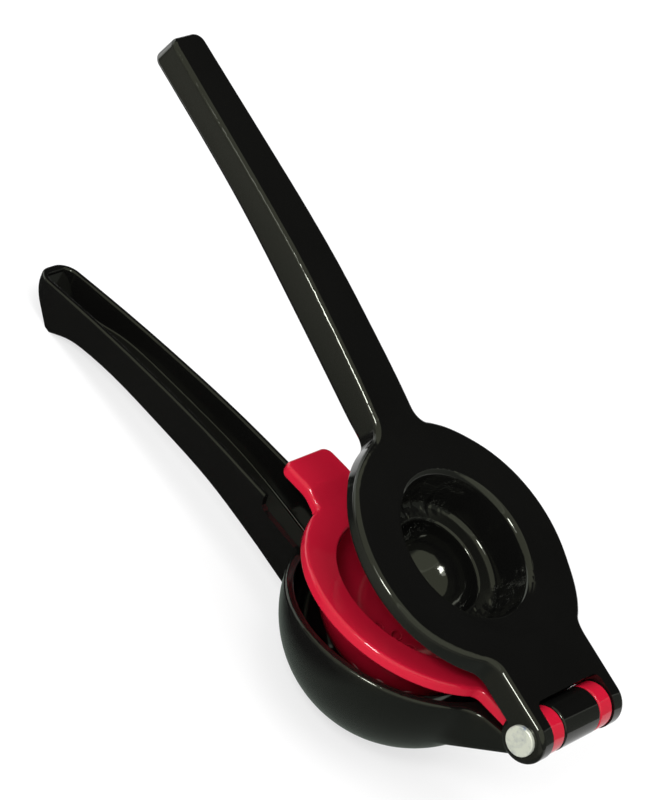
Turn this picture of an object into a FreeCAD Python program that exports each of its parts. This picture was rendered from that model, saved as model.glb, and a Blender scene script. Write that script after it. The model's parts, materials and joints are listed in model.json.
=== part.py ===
import FreeCAD, Part
import math
import os

# Hinged lemon squeezer, in millimetres.
#
# Three castings hang on one pin: the bowl lever below, the press lever above, and the loose cup insert between
# them. Each casting is drawn in its own lever frame: the pin's axis is the Y axis, +X points past the hinge, the
# handle runs towards -X and +Z is up, with all three parting planes level as in the closed tool. Each casting is
# then turned about the pin to the angle at which it rests, and the whole tool is set down on the counter.

# Angles at rest, in degrees
opening_at_rest = 23.4
insert_lift_at_rest = 7.2

# Plan sizes that all three castings share
bowl_reach = 53.3
bowl_radius = 37.4
hinge_width = 39.4
ear_thickness = 5.1
knuckle_gap = 0.3
insert_knuckle_width = 5.7

# Levels in the closed tool, measured from the pin's axis
press_face_level = 3.5
disc_thickness = 5.0
press_to_insert_gap = 0.2
flange_thickness = 4.0
insert_to_rim_gap = 0.3

# Hinge
pin_radius = 3.0
pin_running_clearance = 0.05
pin_head_radius = 4.4
pin_head_height = 1.2
pin_head_round = 0.35
tail_shank_radius = 1.8
tail_shank_length = 6.0
ear_radius = 7.1
insert_knuckle_radius = 6.7
bowl_knuckle_radius = 6.8
knuckle_relief = 0.5
knuckle_round = 0.6
slot_depth = 6.4
slot_corner_round = 2.5

# Press lever
press_disc_overhang = 0.9
press_ear_arm_start = 20.0
press_handle_end = 214.4
press_handle_root_width = 18.6
press_handle_end_width = 13.2
press_handle_corner = 3.4
press_wall = 2.8
press_roof = 3.0
press_edge_round = 1.6
press_junction_round = 6.0
press_neck_round = 6.0

# Ram: a hollow two-step plunger under the press disc
ram_set_back = 0.5
recess_wall_radius = 22.1
recess_wall_draft = 9.8
recess_mouth_round = 2.0
recess_ledge_depth = 12.8
recess_ledge_round = 1.8
recess_cup_draft = 2.0
recess_cup_radius = 14.4
recess_cup_edge_round = 0.9
recess_depth = 26.0
ram_wall = 2.8

# Cup insert
flange_inset = 0.4
insert_neck_round = 3.0
cup_mouth_radius = 27.3
cup_mouth_round = 0.6
cup_wall = 2.6
tab_end = 105.0
tab_width = 19.6
tab_lift = 2.6
tab_corner = 3.0
tab_root_round = 1.5
flange_edge_round = 1.2
insert_hole_radius = 1.6
insert_hole_ring_radii = (0.0, 5.0, 9.0)
insert_hole_ring_counts = (1, 6, 10)

# Bowl lever
bowl_centre_drop = 4.2
bowl_wall = 3.0
rim_round = 1.0
bowl_neck_root_angle = 52.0
bowl_neck_root_depth = 5.0
bowl_neck_top_end = 2.0
bowl_neck_edge_round = 1.5
bowl_neck_blend = 8.0
bowl_slot_width = 3.4
bowl_slot_inner = 7.0
bowl_slot_outer = 17.0
bowl_slot_count = 8
bowl_handle_end = 204.6
bowl_handle_root_width = 20.4
bowl_handle_end_width = 13.6
bowl_handle_corner = 5.6
bowl_handle_wall = 1.9
bowl_handle_floor = 2.6
bowl_handle_top_round = 0.65
bowl_handle_end_lean = 10.5
tab_notch_end_gap = 0.6
tab_notch_clearance = 0.6
standing_flat_depth = 0.4

# Levels and places that follow from the sizes above
press_disc_radius = bowl_radius + press_disc_overhang
flange_radius = bowl_radius - flange_inset
tab_notch_start = tab_end + tab_notch_end_gap
disc_under_level = press_face_level - disc_thickness
flange_top_level = disc_under_level - press_to_insert_gap
flange_under_level = flange_top_level - flange_thickness
rim_level = flange_under_level - insert_to_rim_gap
bowl_centre_level = -bowl_centre_drop
ear_inner = hinge_width / 2 - ear_thickness
insert_knuckle_outer = ear_inner - knuckle_gap
insert_knuckle_inner = insert_knuckle_outer - insert_knuckle_width
bowl_knuckle_half = insert_knuckle_inner - knuckle_gap
pin_bore_radius = pin_radius + pin_running_clearance
far = 400.0


def v(x, y, z):
    return FreeCAD.Vector(x, y, z)


def box(x0, x1, y0, y1, z0, z1):
    return Part.makeBox(x1 - x0, y1 - y0, z1 - z0, v(x0, y0, z0))


def cross_cylinder(radius, y0, y1):
    # a cylinder on the pin's axis
    return Part.makeCylinder(radius, y1 - y0, v(0, y0, 0), v(0, 1, 0))


def upright_cylinder(radius, x, y, z0, z1):
    return Part.makeCylinder(radius, z1 - z0, v(x, y, z0), v(0, 0, 1))


def both_sides(shape):
    return shape.fuse(shape.mirror(v(0, 0, 0), v(0, 1, 0)))


def smooth_edge(points, level_start=False, level_end=False):
    # one smooth curve in the XZ plane through a few points, leaving or arriving level where asked
    places = [v(x, 0, z) for x, z in points]
    ahead = v(math.copysign(1, points[1][0] - points[0][0]), 0, 0)
    start = ahead if level_start else (places[1] - places[0]).normalize()
    end = ahead if level_end else (places[-1] - places[-2]).normalize()
    curve = Part.BSplineCurve()
    curve.interpolate(Points=places, InitialTangent=start, FinalTangent=end)
    return curve.toShape()


def polyline_edges(points):
    corners = [v(x, 0, z) for x, z in points]
    return [Part.makeLine(a, b) for a, b in zip(corners, corners[1:])]


def across(edges, half_width):
    # a side view, drawn as edges in the XZ plane, made a solid of a given width
    face = Part.Face(Part.Wire(edges))
    face.translate(v(0, -half_width, 0))
    return face.extrude(v(0, 2 * half_width, 0))


def tapered_plan(x_root, x_end, root_width, end_width, corner, low, high):
    # a straight-sided bar seen from above, with rounded corners at its far end
    a = root_width / 2
    b = end_width / 2
    corners = [v(x_root, -a, low), v(x_end, -b, low), v(x_end, b, low), v(x_root, a, low)]
    bar = Part.Face(Part.makePolygon(corners + corners[:1])).extrude(v(0, 0, high - low))
    ends = [e for e in bar.Edges if upright(e) and abs(e.CenterOfMass.x - x_end) < 0.01]
    return bar.makeFillet(corner, ends)


def upright(edge):
    line = edge.Vertexes[-1].Point - edge.Vertexes[0].Point
    return line.Length > 1 and abs(abs(line.z) - line.Length) < 1e-6


def corners_on_circle(plan, radius, side):
    # the upright edges on a circle about the bowl's axis, on the hinge side (side = 1) or the handle side
    found = []
    for edge in plan.Edges:
        place = edge.CenterOfMass
        away = math.hypot(place.x + bowl_reach, place.y)
        if upright(edge) and abs(away - radius) < 0.01 and (place.x + bowl_reach) * side > 0:
            found.append(edge)
    return found


def middle_of(edge):
    return edge.valueAt((edge.FirstParameter + edge.LastParameter) / 2)


def outward(face, point):
    u, w = face.Surface.parameter(point)
    return face.normalAt(u, w)


def rim_edges(shape, side, inside):
    # edges where a level-ish face, facing up (side = 1) or down (side = -1), meets an upright wall
    found = []
    for edge in shape.Edges:
        place = middle_of(edge)
        if edge.Length < 0.01 or not inside(place):
            continue
        tilts = [outward(f, place).z * side for f in shape.ancestorsOfType(edge, Part.Face)]
        if len(tilts) == 2 and max(tilts) > 0.8 and abs(min(tilts)) < 0.25:
            found.append(edge)
    return found


def anywhere(place):
    return True


def short_of_the_pin(place):
    return place.x < -0.5


def beyond_the_notch(place):
    return place.x < -tab_notch_start - 1


def without_repeats(edges):
    kept = []
    for edge in edges:
        if not any(edge.isSame(other) for other in kept):
            kept.append(edge)
    return kept


def knuckle(radius, y0, y1, edge_round):
    # one barrel of the hinge, with its end edges rounded
    barrel = cross_cylinder(radius, y0, y1)
    return barrel.makeFillet(edge_round, [e for e in barrel.Edges if e.Closed])


def turned_profile(edges, x):
    # a half section, drawn in the XZ plane from an axis at x = 0, turned about that upright axis
    face = Part.Face(Part.Wire(edges))
    solid = face.revolve(v(0, 0, 0), v(0, 0, 1), 360)
    solid.translate(v(x, 0, 0))
    return solid


def rounded_path(points, radii):
    # a path in the XZ plane whose inner corners are rounded, each with its own radius
    corners = [v(x, 0, z) for x, z in points]
    edges = []
    start = corners[0]
    for before, corner, after, radius in zip(corners, corners[1:], corners[2:], radii):
        if radius == 0:
            edges.append(Part.makeLine(start, corner))
            start = corner
            continue
        back = (before - corner).normalize()
        on = (after - corner).normalize()
        half = back.getAngle(on) / 2
        reach = radius / math.tan(half)
        middle = corner + (back + on).normalize() * (radius / math.sin(half) - radius)
        edges.append(Part.makeLine(start, corner + back * reach))
        edges.append(Part.Arc(corner + back * reach, middle, corner + on * reach).toShape())
        start = corner + on * reach
    edges.append(Part.makeLine(start, corners[-1]))
    return edges


# Press lever

# The top line of the press lever from the hinge to the handle's end: level over the ears, a shallow slope down
# to the disc, level across the disc, then a long rising sweep into the handle. What lies on the disc is measured
# from the disc's edges, near the hinge and at the handle
disc_near = press_disc_radius - bowl_reach
disc_far = -press_disc_radius - bowl_reach
PRESS_NECK_SLOPE = ((disc_near - 3, ear_radius), (disc_near - 9, 6.2), (disc_near - 15, 4.8),
                    (disc_near - 21, 3.8), (disc_near - 28, press_face_level))
PRESS_HANDLE_TOP = ((disc_far + 13.6, press_face_level), (disc_far + 1.6, 5.2), (-104.0, 7.6), (-120.0, 9.6),
                    (-136.0, 11.3), (-152.0, 12.3), (-176.0, 12.9), (-press_handle_end - 4, 13.6))
PRESS_HANDLE_UNDER = ((disc_far + 15.6, disc_under_level), (disc_far + 5.6, -2.6), (disc_far - 3.4, -3.2),
                      (-104.0, -2.5), (-120.0, -0.8), (-136.0, 0.8), (-152.0, 2.3), (-168.0, 3.4),
                      (-184.0, 3.9), (-press_handle_end - 4, 4.2))


def lowered(points, drop):
    return [(x, z - drop) for x, z in points]


def under_press_top(drop, floor, width):
    # everything below the press lever's top line, lowered by drop, down to a flat floor
    neck = lowered(PRESS_NECK_SLOPE, drop)
    handle = lowered(PRESS_HANDLE_TOP, drop)
    x_hinge = ear_radius + 2
    edges = polyline_edges([(handle[-1][0], floor), (x_hinge, floor), (x_hinge, neck[0][1]), neck[0]])
    edges.append(smooth_edge(neck, level_start=True, level_end=True))
    edges += polyline_edges([neck[-1], handle[0]])
    edges.append(smooth_edge(handle, level_start=True))
    edges += polyline_edges([handle[-1], (handle[-1][0], floor)])
    return across(edges, width)


def above_press_underside():
    # everything above the underside: flat under the disc, and the handle's lower edge beyond it
    x_step = PRESS_HANDLE_UNDER[0][0]
    x_end = PRESS_HANDLE_UNDER[-1][0]
    edges = polyline_edges([(x_end, far), (far, far), (far, disc_under_level), (x_step, disc_under_level)])
    edges.append(smooth_edge(PRESS_HANDLE_UNDER, level_start=True))
    edges += polyline_edges([PRESS_HANDLE_UNDER[-1], (x_end, far)])
    return across(edges, press_disc_radius + 2)


def press_plan():
    # disc, handle and ear block seen from above, with the inner corners rounded
    disc = upright_cylinder(press_disc_radius, -bowl_reach, 0, -far, far)
    handle = tapered_plan(-bowl_reach, -press_handle_end, press_handle_root_width,
                          press_handle_end_width, press_handle_corner, -far, far)
    half = hinge_width / 2
    ears = box(-bowl_reach, ear_radius, -half, half, -far, far)
    plan = disc.fuse([handle, ears]).removeSplitter()
    plan = plan.makeFillet(press_junction_round, corners_on_circle(plan, press_disc_radius, -1))
    return plan.makeFillet(press_neck_round, corners_on_circle(plan, press_disc_radius, 1))


def press_hinge_end():
    # the ears are rounded about the pin, and a slot between them clears the other knuckles
    half = hinge_width / 2
    corner = box(-0.001, far, -half - 1, half + 1, -far, far)
    corner = corner.cut(cross_cylinder(ear_radius, -half - 1, half + 1))
    lower = box(-press_ear_arm_start, far, -half - 1, half + 1, -far, disc_under_level)
    lower = lower.cut(cross_cylinder(ear_radius, -half - 1, half + 1))
    slot = box(-slot_depth, far, -ear_inner, ear_inner, -far, far)
    slot = slot.makeFillet(slot_corner_round, [e for e in slot.Edges if upright(e) and middle_of(e).x < 0])
    slot = slot.fuse(cross_cylinder(bowl_knuckle_radius + knuckle_relief, -ear_inner, ear_inner))
    return corner, lower, slot


def ram_solid(grow):
    # the recess, or, grown by the wall, the outside of the ram: a drafted wall, a ledge and a drafted cup
    wall_draft = math.tan(math.radians(recess_wall_draft))
    cup_draft = math.tan(math.radians(recess_cup_draft))
    top = press_face_level + 1.0 if grow == 0 else disc_under_level + 1.0
    ledge = press_face_level - recess_ledge_depth - grow
    bottom = press_face_level - recess_depth - grow
    mouth = recess_wall_radius + grow - (press_face_level - top) * wall_draft
    foot = recess_wall_radius + grow - (press_face_level - ledge) * wall_draft
    cup = recess_cup_radius + grow
    nose = cup - (ledge - bottom) * cup_draft
    points = [(0, top), (mouth, top), (foot, ledge), (cup, ledge), (nose, bottom), (0, bottom)]
    radii = [0, recess_ledge_round + grow, recess_cup_edge_round, 0.75 * cup]
    edges = rounded_path(points, radii)
    edges.append(Part.makeLine(v(0, 0, bottom), v(0, 0, top)))
    return turned_profile(edges, -bowl_reach - ram_set_back)


def recess_mouth():
    # the rounded mouth of the recess; beyond its lip the cutter rises gently, so that it also blends the slope
    # that climbs towards the ears
    r = recess_mouth_round
    low = v(recess_wall_radius - r * math.tan(math.radians(recess_wall_draft)), 0, press_face_level - r)
    lip = low + v(r, 0, r)
    bend = lip - v(r * math.sqrt(0.5), 0, r - r * math.sqrt(0.5))
    blend = lip + v(6, 0, 2.4)
    top = lip + v(6, 0, 8)
    edges = [Part.makeLine(v(0, 0, top.z), top), Part.makeLine(top, blend), Part.makeLine(blend, lip),
             Part.Arc(lip, bend, low).toShape(), Part.makeLine(low, v(0, 0, low.z)),
             Part.makeLine(v(0, 0, low.z), v(0, 0, top.z))]
    return turned_profile(edges, -bowl_reach - ram_set_back)


def press_blank():
    half = press_disc_radius + 2
    barrel = cross_cylinder(ear_radius, -hinge_width / 2, hinge_width / 2)
    blank = press_plan().common(under_press_top(0, -far, half))
    blank = blank.common(above_press_underside().fuse(barrel))
    corner, lower, slot = press_hinge_end()
    ears = both_sides(cross_cylinder(ear_radius, ear_inner, hinge_width / 2))
    blank = blank.fuse(ears).cut(corner).cut(lower).removeSplitter()
    side = hinge_width / 2
    ear_edges = [e for e in blank.Edges if not upright(e) and middle_of(e).x > -press_ear_arm_start + 0.5
                 and abs(abs(e.BoundBox.YMin) - side) < 0.01 and e.BoundBox.YLength < 0.01]
    under = rim_edges(blank, -1, lambda place: place.x < -ear_radius)
    chosen = without_repeats(rim_edges(blank, 1, anywhere) + ear_edges + under)
    return blank.makeFillet(press_edge_round, chosen).cut(slot)


def press_handle_hollow():
    # the handle is a channel, open underneath
    hollow = tapered_plan(-bowl_reach - press_disc_radius - 2, -press_handle_end + press_wall,
                          press_handle_root_width - 2 * press_wall, press_handle_end_width - 2 * press_wall,
                          press_handle_corner / 2, -far, far)
    return hollow.common(under_press_top(press_roof, -far, press_disc_radius))


def press_lever():
    slot = press_hinge_end()[2]
    body = press_blank().fuse(ram_solid(ram_wall).cut(slot))
    body = body.cut(ram_solid(0)).cut(recess_mouth()).cut(press_handle_hollow())
    return body.cut(cross_cylinder(pin_radius, -hinge_width, hinge_width)).removeSplitter()


# Cup insert

def spherical_cup(outer_radius, inner_radius, centre_level, top_level):
    outer = Part.makeSphere(outer_radius, v(-bowl_reach, 0, centre_level))
    outer = outer.cut(box(-far, far, -far, far, top_level, far))
    return outer.cut(Part.makeSphere(inner_radius, v(-bowl_reach, 0, centre_level)))


def insert_plan():
    # flange, thumb tab and hinge neck seen from above, taller than the plate that is cut from it
    low = flange_under_level - 1
    high = flange_top_level + tab_lift + 1
    disc = upright_cylinder(flange_radius, -bowl_reach, 0, low, high)
    neck = box(-bowl_reach, 0, -insert_knuckle_outer, insert_knuckle_outer, low, high)
    tab = tapered_plan(-bowl_reach, -tab_end, tab_width, tab_width, tab_corner, low, high)
    plan = disc.fuse([neck, tab]).removeSplitter()
    plan = plan.makeFillet(insert_neck_round, corners_on_circle(plan, flange_radius, 1))
    return plan.makeFillet(tab_root_round, corners_on_circle(plan, flange_radius, -1))


def tab_rise(level):
    # the thumb tab's climb from the flange, which clears the bowl lever's walls
    ring_end = -bowl_reach - flange_radius
    return [(ring_end + 4.0, level), (ring_end + 0.5, level + 0.18 * tab_lift),
            (ring_end - 3.5, level + 0.86 * tab_lift), (ring_end - 7.0, level + tab_lift)]


def insert_plate():
    over = tab_rise(flange_top_level)
    under = tab_rise(flange_under_level)
    x_tip = -tab_end - 1
    edges = polyline_edges([over[-1], (x_tip, over[-1][1]), (x_tip, under[-1][1]), under[-1]])
    edges.append(smooth_edge(under[::-1], level_start=True, level_end=True))
    edges += polyline_edges([under[0], (1, under[0][1]), (1, over[0][1]), over[0]])
    edges.append(smooth_edge(over, level_start=True, level_end=True))
    plate = insert_plan().common(across(edges, flange_radius + 1))
    chosen = rim_edges(plate, 1, short_of_the_pin) + rim_edges(plate, -1, short_of_the_pin)
    return plate.makeFillet(flange_edge_round, without_repeats(chosen))


def hole_ring(ring_radius, count, hole_radius):
    cutters = []
    for i in range(count):
        turn = 2 * math.pi * i / count
        x = -bowl_reach + ring_radius * math.cos(turn)
        cutters.append(upright_cylinder(hole_radius, x, ring_radius * math.sin(turn), -far, bowl_centre_level))
    return cutters


def insert_cup():
    outer_radius = cup_mouth_radius + cup_wall
    centre = flange_top_level - 0.3
    shell = spherical_cup(outer_radius, cup_mouth_radius, centre, flange_under_level + 0.1)
    body = insert_plate().fuse(shell)
    knuckles = both_sides(knuckle(insert_knuckle_radius, insert_knuckle_inner, insert_knuckle_outer, knuckle_round))
    body = body.fuse(knuckles)
    body = body.cut(Part.makeSphere(cup_mouth_radius, v(-bowl_reach, 0, centre)))
    lip = [e for e in body.Edges if e.Length > 100 and abs(middle_of(e).z - flange_top_level) < 0.01
           and math.hypot(middle_of(e).x + bowl_reach, middle_of(e).y) < cup_mouth_radius + 0.1]
    body = body.makeFillet(cup_mouth_round, lip)
    slot_half = insert_knuckle_inner
    body = body.cut(box(0, far, -slot_half, slot_half, -far, far))
    body = body.cut(cross_cylinder(bowl_knuckle_radius + knuckle_relief, -slot_half, slot_half))
    for ring_radius, count in zip(insert_hole_ring_radii, insert_hole_ring_counts):
        body = body.cut(hole_ring(ring_radius, count, insert_hole_radius))
    return body.cut(cross_cylinder(pin_bore_radius, -hinge_width, hinge_width)).removeSplitter()


# Bowl lever

# The handle's upper edge from the end to the notch for the insert's tab, and its lower edge from the flared end
# to the bowl
BOWL_HANDLE_TOP = ((-bowl_handle_end - 2, 8.35), (-184.0, 7.9), (-164.0, 7.0), (-148.0, 5.9), (-132.0, 4.4),
                   (-118.0, 2.6), (-tab_notch_start, 0.8))
BOWL_HANDLE_UNDER = ((-192.5, -5.3), (-186.0, -2.9), (-178.0, -2.0), (-164.0, -2.5), (-148.0, -4.4),
                     (-132.0, -6.6), (-116.0, -10.0), (-102.0, -14.0), (-80.0, -21.0))


def bowl_handle_back():
    # the leaning end wall, seen from the side: its foot and its top
    foot = (-bowl_handle_end + bowl_handle_end_lean, BOWL_HANDLE_UNDER[0][1] + 0.2)
    return foot, (-bowl_handle_end, BOWL_HANDLE_TOP[0][1] - 1.35)


def bowl_handle_outside():
    # seen from the side: the upper edge, the notch under the insert's tab, the swept underside, the small heel
    # that stands on the counter and the leaning end wall
    root = BOWL_HANDLE_UNDER[-1]
    start = BOWL_HANDLE_TOP[-1]
    top = BOWL_HANDLE_TOP[0]
    notch_floor = flange_under_level - tab_notch_clearance
    notch_top = notch_floor + tab_lift
    foot, brow = bowl_handle_back()
    edges = [smooth_edge(BOWL_HANDLE_TOP)]
    edges += polyline_edges([start, (start[0] + 0.4, notch_top + 1.2), (start[0] + 2.2, notch_top),
                             (-bowl_reach - bowl_radius, notch_floor), (root[0], notch_floor), root])
    edges.append(smooth_edge(BOWL_HANDLE_UNDER))
    edges += polyline_edges([BOWL_HANDLE_UNDER[0], foot, brow, (top[0], brow[1] + 0.6), top])
    plan = tapered_plan(root[0], -bowl_handle_end, bowl_handle_root_width, bowl_handle_end_width,
                        bowl_handle_corner, -far, far)
    return plan.common(across(edges, bowl_handle_root_width))


def bowl_handle_hollow():
    # the handle is a channel, open on top, whose end wall leans as the outside does
    wall = bowl_handle_wall
    floor = [(x, z + bowl_handle_floor) for x, z in BOWL_HANDLE_UNDER[1:]]
    foot, brow = bowl_handle_back()
    slant = (brow[0] - foot[0]) / (brow[1] - foot[1])
    shift = wall * math.hypot(1, slant)
    level = floor[0][1] + 0.3
    back = (foot[0] + shift + (level - foot[1]) * slant, level)
    high = (brow[0] + shift, brow[1])
    edges = [smooth_edge([back] + floor)]
    edges += polyline_edges([floor[-1], (floor[-1][0], far), (high[0], far), high, back])
    plan = tapered_plan(floor[-1][0], -bowl_handle_end + wall, bowl_handle_root_width - 2 * wall,
                        bowl_handle_end_width - 2 * wall, bowl_handle_corner - wall, -far, far)
    return plan.common(across(edges, bowl_handle_root_width))


def bowl_handle(bowl):
    # the channel, with the upper edges of its thin walls rounded inside and outside
    handle = bowl_handle_outside().cut(bowl_handle_hollow().cut(bowl))
    return handle.makeFillet(bowl_handle_top_round, rim_edges(handle, 1, beyond_the_notch))


def bowl_neck():
    # the deep neck between bowl and hinge: its underside runs from the bowl straight to the knuckle
    below = math.radians(bowl_neck_root_angle)
    inside = bowl_radius - bowl_neck_root_depth
    root = (-bowl_reach + inside * math.cos(below), bowl_centre_level - inside * math.sin(below))
    r = bowl_knuckle_radius
    lean = math.atan2(-root[1], -root[0]) - math.asin(r / math.hypot(root[0], root[1]))
    touch = (r * math.sin(lean), -r * math.cos(lean))
    start = (root[0], rim_level)
    neck = across(polyline_edges([start, (-bowl_neck_top_end, rim_level), (0.0, 0.0), touch, root, start]),
                  insert_knuckle_outer)
    long_edges = [e for e in neck.Edges if e.Length > 20 and abs(middle_of(e).y) > 1 and middle_of(e).z < rim_level - 1]
    return neck.makeFillet(bowl_neck_edge_round, long_edges)


def bowl_outside():
    # a solid ball, cut level at the rim
    ball = Part.makeSphere(bowl_radius, v(-bowl_reach, 0, bowl_centre_level))
    return ball.cut(box(-far, far, -far, far, rim_level, far))


def bowl_with_neck():
    # bowl and neck with a broad blend where they meet, and one rounded edge round the top of both
    body = bowl_outside().fuse(bowl_neck())
    meeting = []
    for edge in body.Edges:
        place = middle_of(edge)
        away = place - v(-bowl_reach, 0, bowl_centre_level)
        if abs(away.Length - bowl_radius) < 0.01 and abs(place.y) > 1 and place.z < rim_level - 1:
            meeting.append(edge)
    body = body.makeFillet(bowl_neck_blend, meeting)
    return body.makeFillet(rim_round, rim_edges(body, 1, lambda place: place.x < -bowl_neck_top_end - 0.5))


def bowl_inside():
    # the hollow: a ball whose mouth opens over a rounded edge
    radius = bowl_radius - bowl_wall
    centre = v(0, 0, bowl_centre_level)
    reach = radius + rim_round
    height = rim_level - rim_round - bowl_centre_level
    middle = centre + v(math.sqrt(reach * reach - height * height), 0, height)
    inward = (centre - middle).normalize()
    low = middle + inward * rim_round
    bend = middle + (inward + v(0, 0, 1)).normalize() * rim_round
    lip = middle + v(0, 0, rim_round)
    pole = centre - v(0, 0, radius)
    half_way = centre + v(radius * math.sqrt(0.5), 0, -radius * math.sqrt(0.5))
    roof = v(0, 0, rim_level + 10)
    edges = [Part.Arc(pole, half_way, low).toShape(), Part.Arc(low, bend, lip).toShape(),
             Part.makeLine(lip, v(lip.x, 0, roof.z)), Part.makeLine(v(lip.x, 0, roof.z), roof),
             Part.makeLine(roof, pole)]
    return turned_profile(edges, -bowl_reach)


def bowl_slots():
    cutters = []
    half = bowl_slot_width / 2
    for i in range(bowl_slot_count):
        slot = box(bowl_slot_inner, bowl_slot_outer, -half, half, -far, bowl_centre_level - 20)
        slot = slot.fuse(upright_cylinder(half, bowl_slot_inner, 0, -far, bowl_centre_level - 20))
        slot = slot.fuse(upright_cylinder(half, bowl_slot_outer, 0, -far, bowl_centre_level - 20))
        slot.rotate(v(0, 0, 0), v(0, 0, 1), 360.0 * (i + 0.5) / bowl_slot_count)
        slot.translate(v(-bowl_reach, 0, 0))
        cutters.append(slot)
    return cutters


def bowl_lever():
    half = bowl_knuckle_half
    body = bowl_with_neck().fuse(bowl_handle(bowl_outside())).cut(bowl_inside())
    body = body.cut(both_sides(cross_cylinder(insert_knuckle_radius + knuckle_relief, half, ear_inner)))
    body = body.cut(both_sides(box(0, far, half, ear_inner + 1, -far, far)))
    body = body.fuse(knuckle(bowl_knuckle_radius, -half, half, knuckle_round))
    body = body.cut(bowl_slots())
    return body.cut(cross_cylinder(pin_bore_radius, -hinge_width, hinge_width)).removeSplitter()


# Hinge pin

def pin_disc(face, sign):
    # a flat head with a rounded outer edge; its flat back lies on the ear at y = face
    disc = Part.makeCylinder(pin_head_radius, pin_head_height, v(0, face, 0), v(0, sign, 0))
    outer = [e for e in disc.Edges if e.Closed and abs(abs(e.CenterOfMass.y) - abs(face) - pin_head_height) < 0.01]
    return disc.makeFillet(pin_head_round, outer)


def hinge_pin():
    half = hinge_width / 2
    shaft = cross_cylinder(pin_radius, -half, half)
    tail_bore = cross_cylinder(tail_shank_radius, half - tail_shank_length, half)
    return shaft.fuse(pin_disc(-half, -1)).cut(tail_bore).removeSplitter()


def pin_tail_cap():
    half = hinge_width / 2
    return cross_cylinder(tail_shank_radius, half - tail_shank_length, half).fuse(pin_disc(half, 1)).removeSplitter()


# Setting the tool down: it stands on the bowl and on the heel of the lower handle

def resting_tilt():
    heel = BOWL_HANDLE_UNDER[0]
    dx = -bowl_reach - heel[0]
    dz = bowl_centre_level - heel[1]
    reach = math.hypot(dx, dz)
    return math.degrees(math.asin((bowl_radius - standing_flat_depth) / reach) + math.atan2(-dz, dx))


def set_down(shape, lift):
    tilt = resting_tilt()
    placed = shape.copy()
    placed.rotate(v(0, 0, 0), v(0, 1, 0), lift - tilt)
    turn = math.radians(-tilt)
    centre_x = -bowl_reach * math.cos(turn) + bowl_centre_level * math.sin(turn)
    centre_z = bowl_reach * math.sin(turn) + bowl_centre_level * math.cos(turn)
    placed.translate(v(-centre_x, 0, -centre_z + bowl_radius - standing_flat_depth))
    return placed


def main():
    os.makedirs("parts", exist_ok=True)
    counter = box(-far, far, -far, far, -far, 0)
    parts = {
        "bowl_lever": set_down(bowl_lever(), 0).cut(counter),
        "insert_cup": set_down(insert_cup(), insert_lift_at_rest),
        "press_lever": set_down(press_lever(), opening_at_rest),
        "hinge_pin": set_down(hinge_pin(), opening_at_rest),
        "pin_tail_cap": set_down(pin_tail_cap(), opening_at_rest),
    }
    for name, shape in parts.items():
        shape.exportStep("parts/" + name + ".step")
        size = shape.BoundBox
        print(name, shape.isValid(), len(shape.Solids), round(shape.Volume, 1),
              [round(n, 2) for n in (size.XMin, size.XMax, size.YMin, size.YMax, size.ZMin, size.ZMax)])
    pin = set_down(Part.Vertex(0, 0, 0), 0).Point
    print("tilt", round(resting_tilt(), 3), "pin axis at", round(pin.x, 3), round(pin.z, 3))


main()
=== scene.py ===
# %% [markdown]
# A hinged lemon squeezer: two black enamelled levers and a red cup insert on one steel pin. The
# construction was made as solid parts, so this lesson starts by loading those solids. Each one already lies
# where it belongs, in metres, and everything that is added below takes its place from the hinge.

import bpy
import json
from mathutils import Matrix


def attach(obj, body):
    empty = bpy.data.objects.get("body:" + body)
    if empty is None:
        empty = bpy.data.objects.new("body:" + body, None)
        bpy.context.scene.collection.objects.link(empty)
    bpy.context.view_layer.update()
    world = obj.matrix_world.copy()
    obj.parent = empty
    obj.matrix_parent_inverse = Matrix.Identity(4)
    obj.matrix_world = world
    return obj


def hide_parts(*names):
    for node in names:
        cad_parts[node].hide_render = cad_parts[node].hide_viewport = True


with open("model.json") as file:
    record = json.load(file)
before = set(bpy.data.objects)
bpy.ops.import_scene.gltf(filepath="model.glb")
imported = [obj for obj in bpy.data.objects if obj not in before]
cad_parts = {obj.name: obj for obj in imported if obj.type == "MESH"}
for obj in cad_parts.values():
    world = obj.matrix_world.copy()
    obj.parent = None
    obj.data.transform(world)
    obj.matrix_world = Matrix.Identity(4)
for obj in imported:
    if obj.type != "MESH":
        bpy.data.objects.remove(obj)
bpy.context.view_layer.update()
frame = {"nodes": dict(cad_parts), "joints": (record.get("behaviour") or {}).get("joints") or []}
print("nodes:", sorted(frame["nodes"]))

# %% [markdown]
# Blender's own modules come next. `bmesh` edits meshes, and `math` and `json` are plain Python. One
# millimetre gets a name, because the real tool was measured in millimetres and Blender works in metres. The
# three castings share the pin and were drawn closed. The whole tool was then turned about the pin by its
# tilt, so that it stands on its bowl and its heel, and each upper casting by the lift at which it stands
# open.

# %% Modules, the unit and the hinge
import bpy
import bmesh
import json
import math
from mathutils import Matrix, Vector

MM = 0.001
PIN = Vector(frame["joints"][0]["pos_m"])
LEVER_TILT = 14.962
INSERT_LIFT = 7.2
PRESS_LIFT = 23.4


def casting_turn(lift):
    # the angle in radians by which a casting is turned about the pin, from its closed and level place
    return math.radians(lift - LEVER_TILT)


def casting_place(spot, lift):
    # a spot in millimetres from the pin in the closed tool, taken to where the casting stands now
    return PIN + Matrix.Rotation(casting_turn(lift), 3, "Y") @ (Vector(spot) * MM)


print("hinge axis at", [round(c / MM, 1) for c in PIN], "mm")

# %% [markdown]
# The camera stands at the viewing angle of the photograph: to the left of the hinge, well above the counter
# and rolled to one side, so that the upper handle points up in the picture. A long lens keeps the handles
# nearly parallel. The picture is 660 by 800, so the sensor is fitted to its height.

# %% Camera
CAMERA_PLACE = Vector((213.4, -840.5, 719.7)) * MM
CAMERA_TURN = (45.39, -31.56, 45.24)

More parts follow.
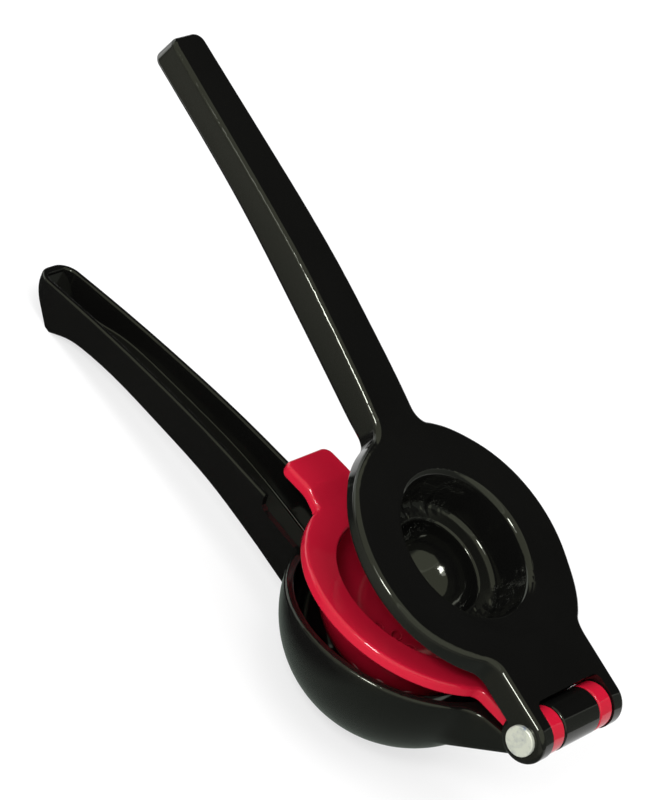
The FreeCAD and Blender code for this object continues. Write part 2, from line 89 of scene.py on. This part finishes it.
camera_data = bpy.data.cameras.new("camera")
camera_data.sensor_fit = "VERTICAL"
camera_data.sensor_height = 36.0
camera_data.lens = 180.0
camera_data.dof.use_dof = False
camera = bpy.data.objects.new("camera", camera_data)
camera.location = CAMERA_PLACE
camera.rotation_euler = [math.radians(a) for a in CAMERA_TURN]
bpy.context.scene.collection.objects.link(camera)
bpy.context.scene.camera = camera
print("camera looks from", [round(c, 3) for c in camera.location])

# %% [markdown]
# Node trees for the surroundings, the finishes and the repeated beads are all wired the same way, so one
# helper adds a node and fills its inputs: a plain value is written into the socket, and an output of
# another node is linked. An input is named with an underscore for each space, or by its number where
# several share one name.

# %% Node helpers
def add(tree, kind, settings=None, **values):
    node = tree.nodes.new(kind)
    for name, value in (settings or {}).items():
        setattr(node, name, value)
    for name, value in values.items():
        socket = node.inputs[int(name[1:])] if name[0] == "_" else node.inputs[name.replace("_", " ")]
        if isinstance(value, bpy.types.NodeSocket):
            tree.links.new(value, socket)
        else:
            socket.default_value = value
    return node


def reckon(tree, operation, *terms):
    # one Math node, whose terms are numbers or outputs of other nodes
    inputs = {f"_{number}": term for number, term in enumerate(terms)}
    return add(tree, "ShaderNodeMath", {"operation": operation}, **inputs).outputs[0]


def mixed(tree, share, first, second):
    return add(tree, "ShaderNodeMixShader", _0=share, _1=first, _2=second).outputs[0]


def ramp(tree, value, stops):
    # a colour ramp with its stops given as (place, colour)
    node = add(tree, "ShaderNodeValToRGB", _0=value)
    band = node.color_ramp
    while len(band.elements) < len(stops):
        band.elements.new(1.0)
    for element, (place, colour) in zip(band.elements, stops):
        element.position = place
        element.color = (*colour, 1)
    return node.outputs["Color"]


print("node helpers ready")

# %% [markdown]
# A glossy black thing is drawn by what it mirrors. Here the back of the studio is dark, so the flat top of
# the press mirrors it and stays black. The wall on the hinge side is pale and starts with a bright edge,
# which draws the thin line across the knuckles, the ceiling is olive grey, and a white card stands far to
# the left. So the world shows plain white to the camera, this studio to mirrors, and an even fill to
# everything else.

# %% Surroundings
WHITE = (1, 1, 1, 1)
FILL = 0.75
DARK = (0.0005, 0.0005, 0.0005)
WALL = (0.20, 0.215, 0.19)
WALL_EDGE = (0.75, 0.77, 0.72)
CEILING = (0.80, 0.82, 0.64)
LEFT_CARD = (0.90, 0.95, 0.90)
LEFT_CARD_GLOW = 1.6
# a light's stops say how far a direction points its way, and the wall's are counted from where the wall begins
WALL_FROM = 0.235
WALL_STOPS = ((0.0, DARK), (0.012, WALL_EDGE), (0.03, WALL_EDGE), (0.05, WALL))
CEILING_LEAN = -0.5
CEILING_STOPS = ((0.50, DARK), (0.62, CEILING))
LEFT_CARD_STOPS = ((0.84, DARK), (0.88, LEFT_CARD))

world = bpy.data.worlds.new("studio")
world.use_nodes = True
dome = world.node_tree
dome.nodes.clear()


def background(colour, strength=1.0):
    return add(dome, "ShaderNodeBackground", Color=colour, Strength=strength).outputs[0]


def together(first, second):
    return add(dome, "ShaderNodeAddShader", _0=first, _1=second).outputs[0]


ray = add(dome, "ShaderNodeLightPath").outputs
direction = add(dome, "ShaderNodeTexCoord").outputs["Generated"]
along = add(dome, "ShaderNodeSeparateXYZ", Vector=direction).outputs
past_the_edge = reckon(dome, "SUBTRACT", along["X"], WALL_FROM)
overhead_way = reckon(dome, "MULTIPLY_ADD", along["Y"], CEILING_LEAN, along["Z"])
leftward = reckon(dome, "MULTIPLY", along["X"], -1.0)
wall_light = background(ramp(dome, past_the_edge, WALL_STOPS))
ceiling_light = background(ramp(dome, overhead_way, CEILING_STOPS))
card_light = background(ramp(dome, leftward, LEFT_CARD_STOPS), LEFT_CARD_GLOW)
mirrored = together(together(wall_light, card_light), ceiling_light)
bounced = mixed(dome, ray["Is Glossy Ray"], background(WHITE, FILL), mirrored)
straight = reckon(dome, "MAXIMUM", ray["Is Camera Ray"], ray["Is Transmission Ray"])
add(dome, "ShaderNodeOutputWorld", Surface=mixed(dome, straight, bounced, background(WHITE)))
bpy.context.scene.world = world
print("world fill", FILL)

# %% [markdown]
# Three lamps do the rest. A wide overhead lamp, which mirrors don't show, gives the plain level. A bright
# softbox above the camera draws the thin white lines along the rounded edges, and a dim strip beside it
# carries the line on up the handle, where it fades.

# %% Lamps
STUDIO_MIDDLE = Vector((-45, 0, 40)) * MM


def softbox(name, way, distance, width, height, watts):
    data = bpy.data.lights.new(name, "AREA")
    data.shape = "RECTANGLE"
    data.size = width
    data.size_y = height
    data.energy = watts
    lamp = bpy.data.objects.new(name, data)
    lamp.location = STUDIO_MIDDLE + Vector(way).normalized() * distance
    lamp.rotation_euler = (STUDIO_MIDDLE - lamp.location).to_track_quat("-Z", "Y").to_euler()
    bpy.context.scene.collection.objects.link(lamp)
    return lamp


softbox("key softbox", way=(0.055, -0.74, 0.66), distance=1.5, width=0.28, height=0.32, watts=12.0)
softbox("dim strip", way=(-0.12, -0.74, 0.66), distance=1.5, width=0.24, height=0.32, watts=0.9)
overhead = softbox("overhead", way=(0.1, -0.15, 1.0), distance=1.6, width=1.1, height=1.1, watts=13.0)
overhead.visible_glossy = False

# %% [markdown]
# The counter is one large pale sheet. Its colour makes the white background, and it keeps a light shadow
# that shows how the squeezer stands on its bowl and on the heel of the lower handle. What the enamel
# mirrors of the sheet is painted light and shade: painted shade beside the handles, a painted green grey
# beside the bowl, a painted mid grey in front that darkens towards the tool, and past the handles' left a
# painted white band that glows like a card. These painted reflections make the handles' low sides look
# black, the bowl and the high sides olive, and the left rims white.

# %% Floor
FLOOR_HALF = 4.0
SHADOW_SHOWN = 0.35
PAPER = (0.92, 0.92, 0.92, 1)
PAINTED_BAND_GLOW = 2.2      # a ramp's colours stop at 1, so the bands are scaled down and glow this much more
# painted light: a white band that glows in the enamel's mirror of the sheet, standing in for a card
PAINTED_WHITE_BAND = (PAINTED_BAND_GLOW, PAINTED_BAND_GLOW, PAINTED_BAND_GLOW)
# painted shade: the dark that the sheet shows in mirrors beside the handles
PAINTED_SHADE = (0.03, 0.03, 0.03)
# painted shade in mirrors: a mid grey in front that darkens towards the tool
FRONT_PAINTED_SHADE_STOPS = ((-360, (0.55, 0.55, 0.48)), (-130, (0.50, 0.50, 0.43)), (-95, (0.27, 0.28, 0.23)),
               (-60, (0.24, 0.25, 0.21)))
# painted light and shade in mirrors beside the tool: the white band, then painted shade, then a green grey
BESIDE_PAINTED_STOPS = ((-262, PAINTED_WHITE_BAND), (-242, PAINTED_WHITE_BAND), (-228, PAINTED_SHADE), (-72, PAINTED_SHADE), (-52, (0.18, 0.21, 0.185)),
                (60, (0.15, 0.17, 0.15)))
BESIDE_LEAN = 1.2    # the bands beside the tool count x and this much of y
FRONT_EDGE = (-80, -62)
BACK_EDGE = (14, 30)
BEHIND = (0.9, 0.9, 0.9, 1)

floor_mesh = bpy.data.meshes.new("floor")
corners = [(x * FLOOR_HALF, y * FLOOR_HALF, 0) for x, y in ((-1, -1), (1, -1), (1, 1), (-1, 1))]
floor_mesh.from_pydata(corners, [], [(0, 1, 2, 3)])
floor = bpy.data.objects.new("floor", floor_mesh)
bpy.context.scene.collection.objects.link(floor)
floor_material = bpy.data.materials.new("pale floor, painted shade in mirrors")
floor_material.use_nodes = True
sheet = floor_material.node_tree
sheet.nodes.clear()
place = add(sheet, "ShaderNodeTexCoord").outputs["Object"]
spot_on_sheet = add(sheet, "ShaderNodeSeparateXYZ", Vector=place).outputs


def glow(colour, strength=1.0):
    return add(sheet, "ShaderNodeEmission", Color=colour, Strength=strength).outputs[0]


def way_past(value, start, end):
    # 0 before the start and 1 after the end, which are in millimetres
    return add(sheet, "ShaderNodeMapRange", Value=value, From_Min=start * MM, From_Max=end * MM).outputs[0]


def bands(value, stops):
    # a glow in bands along a value in metres, which paints light and shade into the sheet's mirror; the stops
    # give millimetres and colours
    start, end = stops[0][0], stops[-1][0]
    scaled = [((at - start) / (end - start), [c / PAINTED_BAND_GLOW for c in colour]) for at, colour in stops]
    return glow(ramp(sheet, way_past(value, start, end), scaled), PAINTED_BAND_GLOW)


y = spot_on_sheet["Y"]
slanted = reckon(sheet, "MULTIPLY_ADD", y, BESIDE_LEAN, spot_on_sheet["X"])
# what mirrors see of the sheet is painted: bands that paint shade near the tool and a white glow past its left
near = mixed(sheet, way_past(y, *FRONT_EDGE), bands(y, FRONT_PAINTED_SHADE_STOPS), bands(slanted, BESIDE_PAINTED_STOPS))
painted_sheet_in_mirrors = mixed(sheet, way_past(y, *BACK_EDGE), near, glow(BEHIND))
sheet_ray = add(sheet, "ShaderNodeLightPath").outputs
paper = add(sheet, "ShaderNodeBsdfDiffuse", Color=PAPER).outputs[0]
whitened = reckon(sheet, "MULTIPLY", sheet_ray["Is Camera Ray"], 1 - SHADOW_SHOWN)
lit = mixed(sheet, whitened, paper, glow(WHITE))
# glossy rays see the painted bands, all other rays see the paper
add(sheet, "ShaderNodeOutputMaterial", Surface=mixed(sheet, sheet_ray["Is Glossy Ray"], lit, painted_sheet_in_mirrors))
floor_mesh.materials.append(floor_material)
print("floor", floor.dimensions[:])

# %% [markdown]
# Finishes are small node trees too. These helpers make a material, a cloud of noise on the object's own
# coordinates, a cloud spread over a range, and a bump, so that the finishes below read as short recipes.

# %% Finish helpers
def new_material(name):
    material = bpy.data.materials.new(name)
    material.use_nodes = True
    return material, material.node_tree, material.node_tree.nodes["Principled BSDF"]


def own_place(tree):
    return add(tree, "ShaderNodeTexCoord").outputs["Object"]


def noise(tree, scale, detail, roughness=0.5, distortion=0.0, vector=None):
    # clouds of the given scale per metre
    cloud = add(tree, "ShaderNodeTexNoise", Vector=vector or own_place(tree), Scale=scale, Detail=detail,
                Roughness=roughness, Distortion=distortion)
    return cloud.outputs["Fac"]


def spread(tree, value, low, high, start=0.3, end=0.7):
    # maps the range from start to end to the range from low to high
    node = add(tree, "ShaderNodeMapRange", Value=value, From_Min=start, From_Max=end, To_Min=low, To_Max=high)
    return node.outputs["Result"]


def bump(tree, height, distance, strength, below=None):
    node = add(tree, "ShaderNodeBump", Height=height, Distance=distance, Strength=strength)
    if below is not None:
        tree.links.new(below, node.inputs["Normal"])
    return node.outputs["Normal"]


print("finish helpers ready")

# %% [markdown]
# Enamel is coloured glass melted over the casting. At the two ends of the plunger's hollow, where it ran
# down the wall, it set in upright ripples. They are a cloud stretched along Z, which fades out towards the
# middle of the hollow and beyond its reach, so the material needs no second mesh and no seam.

# %% Ripples in the plunger
RECESS_AT = casting_place((-53.8, 0, -9.0), PRESS_LIFT)
RECESS_REACH = 23.0 * MM
FADE_BEYOND = (0.88 * RECESS_REACH, RECESS_REACH)
FADE_TO_MIDDLE = (0.5 * RECESS_REACH, 0.8 * RECESS_REACH)
RIPPLE_STRETCH = (1, 1, 0.35)
RIPPLE_SCALE = 190.0
RIPPLE_DEPTH = 2.4 * MM


def plunger_ripples(tree, below):
    place = own_place(tree)
    away = add(tree, "ShaderNodeVectorMath", {"operation": "DISTANCE"}, _0=place, _1=RECESS_AT)
    near = spread(tree, away.outputs["Value"], 1.0, 0.0, *FADE_BEYOND)
    sideways = add(tree, "ShaderNodeVectorMath", {"operation": "SUBTRACT"}, _0=place, _1=RECESS_AT)
    lengthways = add(tree, "ShaderNodeSeparateXYZ", Vector=sideways.outputs[0]).outputs["X"]
    at_the_ends = spread(tree, reckon(tree, "ABSOLUTE", lengthways), 0.0, 1.0, *FADE_TO_MIDDLE)
    stretched = add(tree, "ShaderNodeVectorMath", {"operation": "MULTIPLY"}, _0=place, _1=RIPPLE_STRETCH)
    streaks = noise(tree, RIPPLE_SCALE, 1.5, 0.4, 0.6, stretched.outputs[0])
    ripples = reckon(tree, "MULTIPLY", reckon(tree, "MULTIPLY", near, at_the_ends), streaks)
    return bump(tree, ripples, RIPPLE_DEPTH, 0.8, below)


print("plunger's hollow at", [round(c / MM, 1) for c in RECESS_AT], "mm")

# %% [markdown]
# Everywhere else the enamel pools a little, so its surface has a long soft swell and a fine orange peel,
# both far too shallow to see except in the mirrored light. Its colour drifts between a deep and a pale
# tone, and handling leaves a faint haze, which is a cloud in the roughness. Black and red enamel differ
# only in their colours.

# %% Enamel
TONE_SCALE = 26.0
HAZE_SCALE = 90.0
HAZE = (0.04, 0.11)
SWELL_SCALE = 60.0
SWELL_DEPTH = 0.06 * MM
PEEL_SCALE = 300.0
PEEL_DEPTH = 0.0015 * MM
SPECULAR = 0.42


def enamel(name, deep, pale, tint, rippled=False):
    material, tree, shader = new_material(name)
    colour = ramp(tree, noise(tree, TONE_SCALE, 4.0), [(0.35, deep), (0.65, pale)])
    tree.links.new(colour, shader.inputs["Base Color"])
    tree.links.new(spread(tree, noise(tree, HAZE_SCALE, 5.0, 0.6), *HAZE), shader.inputs["Roughness"])
    normal = bump(tree, noise(tree, SWELL_SCALE, 1.0), SWELL_DEPTH, 0.5)
    if rippled:
        normal = plunger_ripples(tree, normal)
    normal = bump(tree, noise(tree, PEEL_SCALE, 1.0), PEEL_DEPTH, 0.6, normal)
    tree.links.new(normal, shader.inputs["Normal"])
    shader.inputs["Specular IOR Level"].default_value = SPECULAR
    shader.inputs["Specular Tint"].default_value = tint
    shader.inputs["IOR"].default_value = 1.5
    return material


INK = ((0.0036, 0.0036, 0.0033), (0.0044, 0.0044, 0.0040))
CRIMSON = ((0.43, 0.0070, 0.0250), (0.47, 0.0086, 0.0290))
OLIVE = (0.97, 1.0, 0.88, 1)

BLACK_ENAMEL = enamel("black enamel", *INK, OLIVE)
PRESS_ENAMEL = enamel("black enamel, rippled in the plunger", *INK, OLIVE, rippled=True)
RED_ENAMEL = enamel("red enamel", *CRIMSON, WHITE)
print("enamels:", BLACK_ENAMEL.name, "and", RED_ENAMEL.name)

# %% [markdown]
# The pin is pale plated steel. Its head was hammered and handled, so the colour is blotched from silver to
# a dull yellow grey, with a few bluish marks where the plating is thin.

# %% Pin steel
BLUISH = (0.22, 0.26, 0.33)
SILVER = (0.46, 0.48, 0.44)
YELLOW_GREY = (0.60, 0.62, 0.53)


def plated_steel():
    material, tree, shader = new_material("plated steel")
    blotch = ramp(tree, noise(tree, 330.0, 4.0, 0.6), [(0.33, BLUISH), (0.40, SILVER), (0.55, YELLOW_GREY)])
    tree.links.new(blotch, shader.inputs["Base Color"])
    tree.links.new(spread(tree, noise(tree, 500.0, 4.0), 0.30, 0.5), shader.inputs["Roughness"])
    tree.links.new(bump(tree, noise(tree, 600.0, 2.0), 0.08 * MM, 0.5), shader.inputs["Normal"])
    shader.inputs["Metallic"].default_value = 0.45
    return material


PIN_STEEL = plated_steel()
print("pin finish:", PIN_STEEL.name)

# %% [markdown]
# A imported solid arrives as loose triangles, which mirror light like cut glass. A copy is merged into one
# skin, its sharp corners are marked by angle, and a Weighted Normal modifier lets the large flat faces
# decide how the rounded edges between them shade. The copy then stands for the solid.

# %% Smooth skins
MERGE_DISTANCE = 0.002 * MM
SHARP_ANGLE = math.radians(32)
FLAT_FACE_WEIGHT = 60


def merge_skin(mesh):
    shape = bmesh.new()
    shape.from_mesh(mesh)
    bmesh.ops.remove_doubles(shape, verts=shape.verts, dist=MERGE_DISTANCE)
    for face in shape.faces:
        face.smooth = True
    for edge in shape.edges:
        edge.smooth = len(edge.link_faces) == 2 and edge.calc_face_angle(math.pi) < SHARP_ANGLE
    shape.to_mesh(mesh)
    shape.free()
    if mesh.has_custom_normals:
        mesh.attributes.remove(mesh.attributes["custom_normal"])


def smooth_skin(node, name, body, material):
    mesh = frame["nodes"][node].data.copy()
    merge_skin(mesh)
    mesh.materials.clear()
    mesh.materials.append(material)
    skin = bpy.data.objects.new(name, mesh)
    bpy.context.scene.collection.objects.link(skin)
    weights = skin.modifiers.new("weighted normals", "WEIGHTED_NORMAL")
    weights.keep_sharp = True
    weights.weight = FLAT_FACE_WEIGHT
    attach(skin, body)
    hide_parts(node)
    print(name, len(mesh.vertices), "points,", len(mesh.polygons), "faces")


smooth_skin("bowl_lever", "bowl_lever_enamelled", "bowl", BLACK_ENAMEL)
smooth_skin("insert_cup", "insert_cup_enamelled", "insert", RED_ENAMEL)
smooth_skin("press_lever", "press_lever_enamelled", "press", PRESS_ENAMEL)
smooth_skin("hinge_pin", "hinge_pin_plated", "press", PIN_STEEL)
smooth_skin("pin_tail_cap", "pin_tail_cap_plated", "press", PIN_STEEL)

# %% [markdown]
# Enamel gathers in a bead round every opening it meets. The cup has seventeen drain holes and the bowl
# eight slots, so the beads repeat, and Geometry Nodes lay them out by rule. A small round section is swept
# along each opening's outline, which is first dropped onto the ball that the wall belongs to, and the
# finished bead is turned into every place. One tree serves holes and slots, because a hole is a slot of no
# length.

# %% The tree of beads
OUTLINE_STEPS = 32
SECTION_STEPS = 10
BEAD_INPUTS = {"Ball radius": "NodeSocketFloat", "Half width": "NodeSocketFloat",
               "Half length": "NodeSocketFloat", "Reach": "NodeSocketFloat",
               "Bead radius": "NodeSocketFloat", "Count": "NodeSocketInt",
               "First turn": "NodeSocketFloat", "Middle": "NodeSocketVector",
               "Lean": "NodeSocketVector", "Finish": "NodeSocketMaterial"}


def square(tree, value):
    return reckon(tree, "MULTIPLY", value, value)


def one_bead(tree, given):
    outline = add(tree, "GeometryNodeMeshCircle", Vertices=OUTLINE_STEPS, Radius=given["Half width"])
    position = add(tree, "GeometryNodeInputPosition").outputs[0]
    spot = add(tree, "ShaderNodeSeparateXYZ", Vector=position).outputs
    stretch = reckon(tree, "MULTIPLY", reckon(tree, "SIGN", spot["X"]), given["Half length"])
    x = reckon(tree, "ADD", reckon(tree, "ADD", spot["X"], stretch), given["Reach"])
    squares = reckon(tree, "ADD", square(tree, x), square(tree, spot["Y"]))
    drop = reckon(tree, "SQRT", reckon(tree, "SUBTRACT", square(tree, given["Ball radius"]), squares))
    dropped = add(tree, "ShaderNodeCombineXYZ", X=x, Y=spot["Y"], Z=reckon(tree, "MULTIPLY", drop, -1.0))
    laid = add(tree, "GeometryNodeSetPosition", Geometry=outline.outputs[0], Position=dropped.outputs[0])
    path = add(tree, "GeometryNodeMeshToCurve", Mesh=laid.outputs[0])
    section = add(tree, "GeometryNodeCurvePrimitiveCircle", Resolution=SECTION_STEPS,
                  Radius=given["Bead radius"])
    bead = add(tree, "GeometryNodeCurveToMesh", Curve=path.outputs[0], Profile_Curve=section.outputs[0])
    return add(tree, "GeometryNodeSetShadeSmooth", _0=bead.outputs[0]).outputs[0]


def bead_tree():
    tree = bpy.data.node_groups.new("beads round openings", "GeometryNodeTree")
    for name, kind in BEAD_INPUTS.items():
        tree.interface.new_socket(name=name, in_out="INPUT", socket_type=kind)
    tree.interface.new_socket(name="Geometry", in_out="OUTPUT", socket_type="NodeSocketGeometry")
    given = add(tree, "NodeGroupInput").outputs
    places = add(tree, "GeometryNodePoints", Count=given["Count"])
    number = add(tree, "GeometryNodeInputIndex").outputs[0]
    share = reckon(tree, "DIVIDE", reckon(tree, "ADD", number, given["First turn"]), given["Count"])
    turn = add(tree, "ShaderNodeCombineXYZ", Z=reckon(tree, "MULTIPLY", share, 2 * math.pi))
    spun = add(tree, "GeometryNodeInstanceOnPoints", Points=places.outputs[0], Instance=one_bead(tree, given),
               Rotation=turn.outputs[0])
    whole = add(tree, "GeometryNodeRealizeInstances", Geometry=spun.outputs[0])
    put = add(tree, "GeometryNodeTransform", Geometry=whole.outputs[0], Translation=given["Middle"],
              Rotation=given["Lean"])
    finished = add(tree, "GeometryNodeSetMaterial", Geometry=put.outputs[0], Material=given["Finish"])
    add(tree, "NodeGroupOutput", Geometry=finished.outputs[0])
    return tree


BEADS = bead_tree()
print("bead tree with", len(BEADS.nodes), "nodes")

# %% [markdown]
# The same tree is run once for each ring of openings. Its result is a plain mesh in the part's own frame,
# and the rings of one casting are joined into one piece, which rides with that casting.

# %% Run the tree
BEAD = 0.32


def bead_ring(ball_centre, ball_radius, lift, finish, half_width, half_length, reach, count, first_turn=0.0):
    # ball_centre and all sizes are in millimetres, from the pin in the closed tool
    values = {"Ball radius": ball_radius * MM, "Half width": half_width * MM, "Half length": half_length * MM,
              "Reach": reach * MM, "Bead radius": BEAD * MM, "Count": count, "First turn": first_turn,
              "Middle": casting_place(ball_centre, lift), "Lean": Vector((0, casting_turn(lift), 0)),
              "Finish": finish}
    maker = bpy.data.objects.new("bead maker", bpy.data.meshes.new("empty"))
    bpy.context.scene.collection.objects.link(maker)
    run = maker.modifiers.new("beads", "NODES")
    run.node_group = BEADS
    for item in BEADS.interface.items_tree:
        if item.in_out == "INPUT":
            run[item.identifier] = values[item.name]
    maker.update_tag()
    made = bpy.data.meshes.new_from_object(maker.evaluated_get(bpy.context.evaluated_depsgraph_get()))
    bpy.data.objects.remove(maker)
    return made


def bead_piece(name, body, rings, finish):
    shape = bmesh.new()
    for ring in rings:
        shape.from_mesh(ring)
    mesh = bpy.data.meshes.new(name)
    shape.to_mesh(mesh)
    shape.free()
    mesh.materials.append(finish)
    piece = bpy.data.objects.new(name, mesh)
    bpy.context.scene.collection.objects.link(piece)
    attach(piece, body)
    print(name, len(mesh.polygons), "faces")


# %% [markdown]
# The holes of the cup pass through its wall, so each has a bead on both faces. The bowl's slots are beaded
# on the inside only: outside, the casting is dressed flat where it stands.

# %% Beads of the cup and the bowl
CUP_CENTRE = (-53.3, 0, -2.0)
CUP_WALLS = (27.3, 29.9)
HOLE_RADIUS = 1.6
HOLE_RINGS = ((0.0, 1), (5.0, 6), (9.0, 10))
BOWL_CENTRE = (-53.3, 0, -4.2)
BOWL_INSIDE = 34.4
SLOT_INNER = 7.0
SLOT_OUTER = 17.0
SLOT_HALF_WIDTH = 1.7
SLOT_COUNT = 8
SLOT_FIRST_TURN = 0.5    # the first slot stands half a place round from the lever's middle line

cup_rings = [bead_ring(CUP_CENTRE, wall, INSERT_LIFT, RED_ENAMEL, HOLE_RADIUS, 0.0, ring_radius, count)
             for wall in CUP_WALLS for ring_radius, count in HOLE_RINGS]
bead_piece("cup_hole_beads", "insert", cup_rings, RED_ENAMEL)

slot_half_length = (SLOT_OUTER - SLOT_INNER) / 2
slot_reach = (SLOT_OUTER + SLOT_INNER) / 2
slot_ring = bead_ring(BOWL_CENTRE, BOWL_INSIDE, 0.0, BLACK_ENAMEL, SLOT_HALF_WIDTH, slot_half_length,
                      slot_reach, SLOT_COUNT, SLOT_FIRST_TURN)
bead_piece("bowl_slot_beads", "bowl", [slot_ring], BLACK_ENAMEL)

# %% [markdown]
# The picture keeps Blender's plain Standard view.

# %% Finish
bpy.context.scene.view_settings.view_transform = "Standard"
